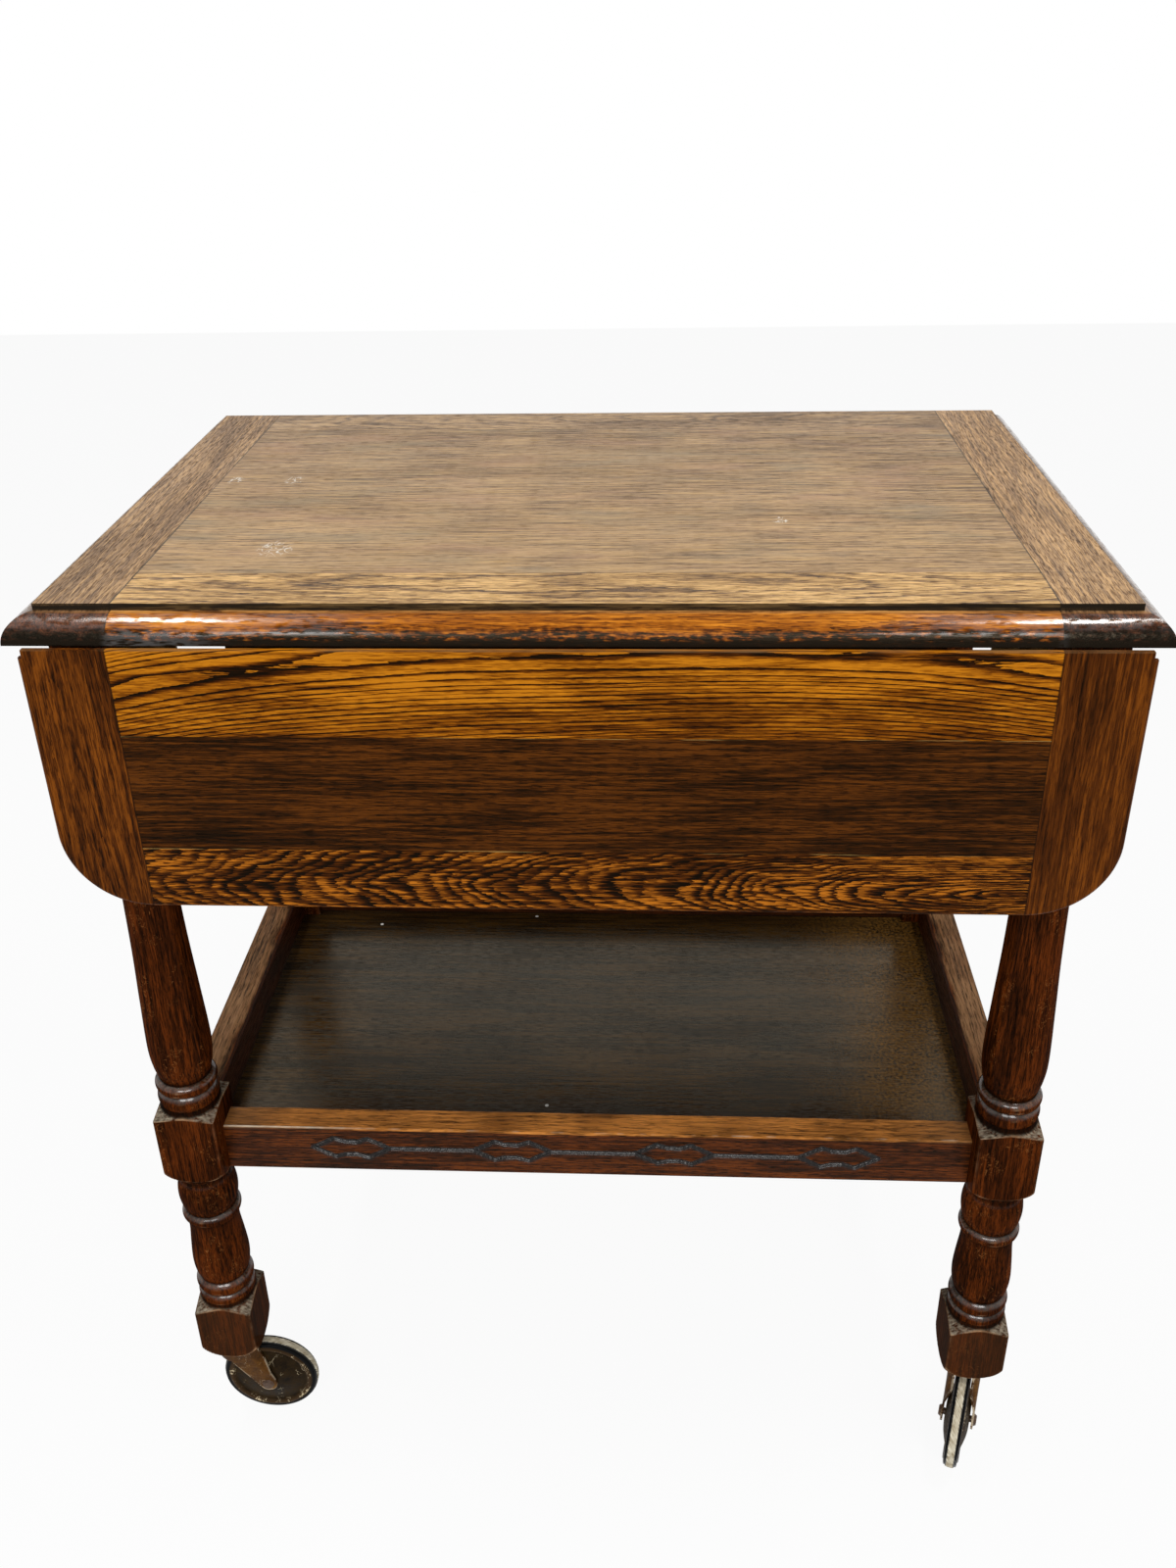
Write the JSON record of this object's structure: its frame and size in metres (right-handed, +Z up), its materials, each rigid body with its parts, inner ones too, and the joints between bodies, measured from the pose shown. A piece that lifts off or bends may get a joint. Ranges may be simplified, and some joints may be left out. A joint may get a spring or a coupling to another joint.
{
  "type": "drop leaf tea trolley",
  "caption": "Drop leaf tea trolley in dark stained oak: turned legs on swivel castors, a lower shelf with a carved rail, and a hinged leaf on each long side.",
  "frame": {"origin": "on the floor, under the middle of the top", "axes": "+X along the length, -Y towards the carved front, +Z up"},
  "size_m": [0.635, 0.434, 0.716],
  "materials": {
    "stained_oak": "dark stained oak, waxed",
    "top_veneer": "dark stained oak veneer, worn",
    "leaf_veneer": "dark stained oak veneer",
    "shelf_veneer": "dark stained oak veneer, glossy",
    "underframe_wood": "sawn hardwood, stained",
    "hinge_metal": "dull brass",
    "screw_metal": "dull steel",
    "stay_metal": "dull brassed steel",
    "castor_metal": "brown patina",
    "wheel_metal": "brown patina",
    "tyre_rubber": "dusty old rubber"
  },
  "bodies": {
    "root": {"top_panel": "top_veneer", "top_left_stile": "stained_oak", "top_right_stile": "stained_oak", "top_front_rail": "stained_oak", "top_back_rail": "stained_oak", "front_left_leg": "stained_oak", "front_right_leg": "stained_oak", "back_left_leg": "stained_oak", "back_right_leg": "stained_oak", "left_apron": "stained_oak", "right_apron": "stained_oak", "front_bearer": "underframe_wood", "back_bearer": "underframe_wood", "cross_bearer": "underframe_wood", "shelf_front_rail": "stained_oak", "shelf_back_rail": "stained_oak", "shelf_left_rail": "stained_oak", "shelf_right_rail": "stained_oak", "shelf_panel": "shelf_veneer", "hinge_top_flaps": "hinge_metal", "hinge_pins": "hinge_metal", "frame_screws": "screw_metal", "stay_frame_plates": "stay_metal", "castor_sockets": "castor_metal"},
    "front_leaf": {"front_leaf_panel": "leaf_veneer", "front_leaf_inner_rail": "stained_oak", "front_leaf_outer_rail": "stained_oak", "front_leaf_left_stile": "stained_oak", "front_leaf_right_stile": "stained_oak", "front_leaf_screws": "screw_metal", "front_hinge_leaf_flaps": "hinge_metal", "front_stay_leaf_plate": "stay_metal"},
    "front_stay_lower": {"front_stay_lower_arm": "stay_metal"},
    "front_stay_upper": {"front_stay_upper_arm": "stay_metal"},
    "back_leaf": {"back_leaf_panel": "leaf_veneer", "back_leaf_inner_rail": "stained_oak", "back_leaf_outer_rail": "stained_oak", "back_leaf_left_stile": "stained_oak", "back_leaf_right_stile": "stained_oak", "back_leaf_screws": "screw_metal", "back_hinge_leaf_flaps": "hinge_metal", "back_stay_leaf_plate": "stay_metal"},
    "back_stay_lower": {"back_stay_lower_arm": "stay_metal"},
    "back_stay_upper": {"back_stay_upper_arm": "stay_metal"},
    "front_left_fork": {"front_left_castor_fork": "castor_metal", "front_left_castor_axle": "castor_metal"},
    "front_left_wheel": {"front_left_castor_wheel": "wheel_metal", "front_left_castor_tyre": "tyre_rubber"},
    "front_right_fork": {"front_right_castor_fork": "castor_metal", "front_right_castor_axle": "castor_metal"},
    "front_right_wheel": {"front_right_castor_wheel": "wheel_metal", "front_right_castor_tyre": "tyre_rubber"},
    "back_right_fork": {"back_right_castor_fork": "castor_metal", "back_right_castor_axle": "castor_metal"},
    "back_right_wheel": {"back_right_castor_wheel": "wheel_metal", "back_right_castor_tyre": "tyre_rubber"},
    "back_left_fork": {"back_left_castor_fork": "castor_metal", "back_left_castor_axle": "castor_metal"},
    "back_left_wheel": {"back_left_castor_wheel": "wheel_metal", "back_left_castor_tyre": "tyre_rubber"}
  },
  "joints": [
    {"name": "front_leaf_swing", "type": "hinge", "parent": "root", "child": "front_leaf", "pos_m": [0, -0.19625, 0.697], "axis": [-1, 0, 0], "range_deg": [0, 90]},
    {"name": "front_stay_lower_swing", "type": "hinge", "parent": "root", "child": "front_stay_lower", "pos_m": [0, -0.13625, 0.655], "axis": [-1, 0, 0], "range_deg": [0, 120.34]},
    {"name": "front_stay_elbow", "type": "hinge", "parent": "front_stay_lower", "child": "front_stay_upper", "pos_m": [0, -0.12823, 0.62109], "axis": [1, 0, 0], "range_deg": [0, 137.41]},
    {"name": "back_leaf_swing", "type": "hinge", "parent": "root", "child": "back_leaf", "pos_m": [0, 0.19625, 0.697], "axis": [1, 0, 0], "range_deg": [0, 90]},
    {"name": "back_stay_lower_swing", "type": "hinge", "parent": "root", "child": "back_stay_lower", "pos_m": [0, 0.13625, 0.655], "axis": [1, 0, 0], "range_deg": [0, 120.34]},
    {"name": "back_stay_elbow", "type": "hinge", "parent": "back_stay_lower", "child": "back_stay_upper", "pos_m": [0, 0.12823, 0.62109], "axis": [-1, 0, 0], "range_deg": [0, 137.41]},
    {"name": "front_left_swivel", "type": "hinge", "parent": "root", "child": "front_left_fork", "pos_m": [-0.2842, -0.16, 0.079], "axis": [0, 0, 1], "continuous": true},
    {"name": "front_left_roll", "type": "hinge", "parent": "front_left_fork", "child": "front_left_wheel", "pos_m": [-0.2622, -0.16, 0.0375], "axis": [0, 1, 0], "continuous": true},
    {"name": "front_right_swivel", "type": "hinge", "parent": "root", "child": "front_right_fork", "pos_m": [0.2842, -0.16, 0.079], "axis": [0, 0, 1], "continuous": true},
    {"name": "front_right_roll", "type": "hinge", "parent": "front_right_fork", "child": "front_right_wheel", "pos_m": [0.27733, -0.1809, 0.0375], "axis": [0.95, -0.3123, 0], "continuous": true},
    {"name": "back_right_swivel", "type": "hinge", "parent": "root", "child": "back_right_fork", "pos_m": [0.2842, 0.16, 0.079], "axis": [0, 0, 1], "continuous": true},
    {"name": "back_right_roll", "type": "hinge", "parent": "back_right_fork", "child": "back_right_wheel", "pos_m": [0.2622, 0.16, 0.0375], "axis": [0, -1, 0], "continuous": true},
    {"name": "back_left_swivel", "type": "hinge", "parent": "root", "child": "back_left_fork", "pos_m": [-0.2842, 0.16, 0.079], "axis": [0, 0, 1], "continuous": true},
    {"name": "back_left_roll", "type": "hinge", "parent": "back_left_fork", "child": "back_left_wheel", "pos_m": [-0.27733, 0.1809, 0.0375], "axis": [-0.95, 0.3123, 0], "continuous": true}
  ],
  "couplings": [
    {"joint": "front_stay_lower_swing", "follows": "front_leaf_swing", "ratio": 1.337},
    {"joint": "front_stay_elbow", "follows": "front_leaf_swing", "ratio": 1.5266},
    {"joint": "back_stay_lower_swing", "follows": "back_leaf_swing", "ratio": 1.337},
    {"joint": "back_stay_elbow", "follows": "back_leaf_swing", "ratio": 1.5266}
  ]
}
